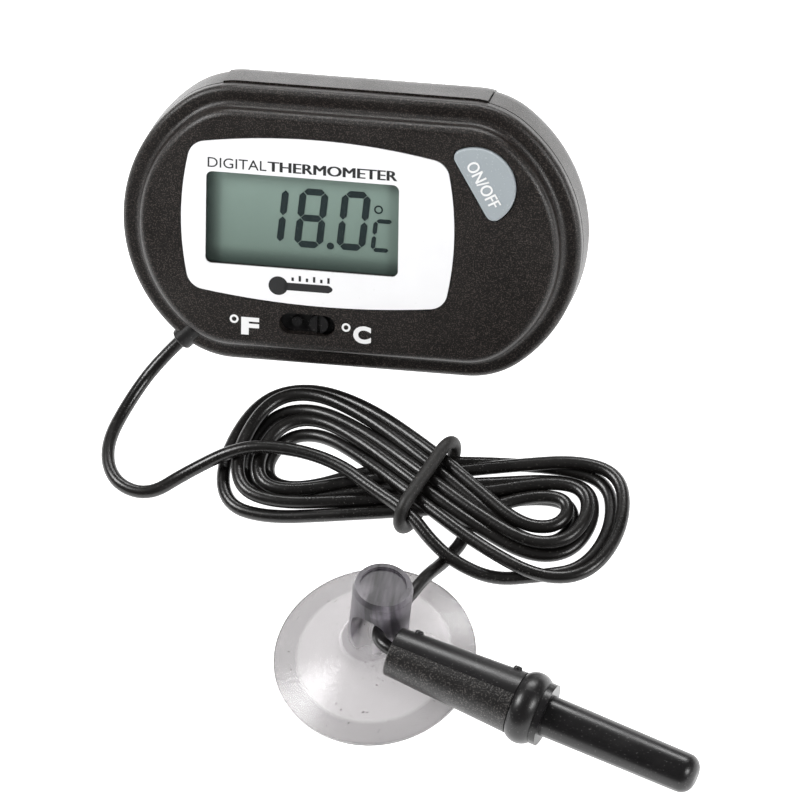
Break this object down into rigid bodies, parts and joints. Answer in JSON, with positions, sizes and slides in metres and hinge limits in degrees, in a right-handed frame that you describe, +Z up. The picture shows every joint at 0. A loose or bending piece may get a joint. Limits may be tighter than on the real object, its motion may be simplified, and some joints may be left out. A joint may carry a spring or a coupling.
{
  "type": "digital thermometer with remote probe",
  "caption": "Digital thermometer with a leaning display unit, tied hank of thin cord, clear suction cup on the cord and a slim probe.",
  "frame": {"origin": "bottom centre of the display unit, on the surface that it stands on; the cord and the pieces on it lie in front", "axes": "+X along the display unit's width, to the reader's right; +Z up; -Y is the side that the display faces"},
  "size_m": [0.0905, 0.0931, 0.0355],
  "materials": {
    "black_shell": "fine spark-eroded texture",
    "white_label": "smooth printed film",
    "button_plastic": "satin, lettering in relief",
    "knob_plastic": "satin",
    "clear_lens": "polished clear acrylic",
    "lcd_glass": "polished, grey-green",
    "lcd_reflector_foil": "satin",
    "frame_plastic": "satin",
    "zebra_rubber": "matte, striped edge",
    "board_laminate": "green solder mask",
    "black_epoxy": "poured blob",
    "component_body": "satin",
    "steel": "satin",
    "nickel": "bright",
    "spring_brass": "satin",
    "cord_pvc": "satin black sheath",
    "gland_rubber": "satin",
    "tie_rubber": "matte",
    "clear_pvc": "soft, clear, slightly cloudy",
    "probe_plastic": "satin, lower half textured",
    "sensor_epoxy": "dipped",
    "wire_tin": "tinned",
    "wire_sheath": "thin sheath",
    "seal_resin": "poured"
  },
  "bodies": {
    "unit": {"front_shell": "black_shell", "back_shell": "black_shell", "face_label": "white_label", "display_lens": "clear_lens", "lcd_front_glass": "lcd_glass", "lcd_rear_glass": "lcd_glass", "lcd_reflector": "lcd_reflector_foil", "lcd_frame": "frame_plastic", "zebra_strip": "zebra_rubber", "circuit_board": "board_laminate", "chip_blob": "black_epoxy", "clock_crystal": "nickel", "board_components": "component_body", "button_dome": "frame_plastic", "button_cell_left": "steel", "button_cell_right": "steel", "contact_positive": "nickel", "contact_negative": "nickel", "case_screws": "steel", "cord_gland": "gland_rubber", "cord_lead": "cord_pvc", "cord_hank": "cord_pvc", "hank_tie": "tie_rubber", "cord_tail": "cord_pvc", "probe_sleeve_upper": "probe_plastic", "probe_sleeve_lower": "probe_plastic", "probe_collar": "probe_plastic", "probe_rod": "probe_plastic", "thermistor_bead": "sensor_epoxy", "thermistor_leads": "wire_tin", "wire_seal": "seal_resin", "sensor_wires": "wire_sheath"},
    "power_button": {"power_button": "button_plastic"},
    "unit_switch": {"unit_switch_knob": "knob_plastic", "switch_wiper": "spring_brass"},
    "battery_door": {"battery_door": "black_shell", "contact_bridge": "nickel"},
    "rear_cup": {"rear_suction_cup": "clear_pvc"},
    "probe_cup": {"suction_cup": "clear_pvc"}
  },
  "joints": [
    {"name": "power_button_press", "type": "slide", "parent": "unit", "child": "power_button", "axis": [0, 0.7804, -0.6252], "range_m": [0, 0.0006], "stiffness_N_per_m": 400, "springref_m": -0.001},
    {"name": "unit_switch_slide", "type": "slide", "parent": "unit", "child": "unit_switch", "axis": [-1, 0, 0], "range_m": [0, 0.0015]},
    {"name": "battery_door_slide", "type": "slide", "parent": "unit", "child": "battery_door", "axis": [0, 0.6252, 0.7804], "range_m": [0, 0.012]},
    {"name": "rear_cup_slide", "type": "slide", "parent": "unit", "child": "rear_cup", "axis": [0, -0.6252, -0.7804], "range_m": [0, 0.006]},
    {"name": "probe_cup_slide", "type": "slide", "parent": "unit", "child": "probe_cup", "axis": [0.5373, 0.8434, 0], "range_m": [0, 0.0015]}
  ]
}
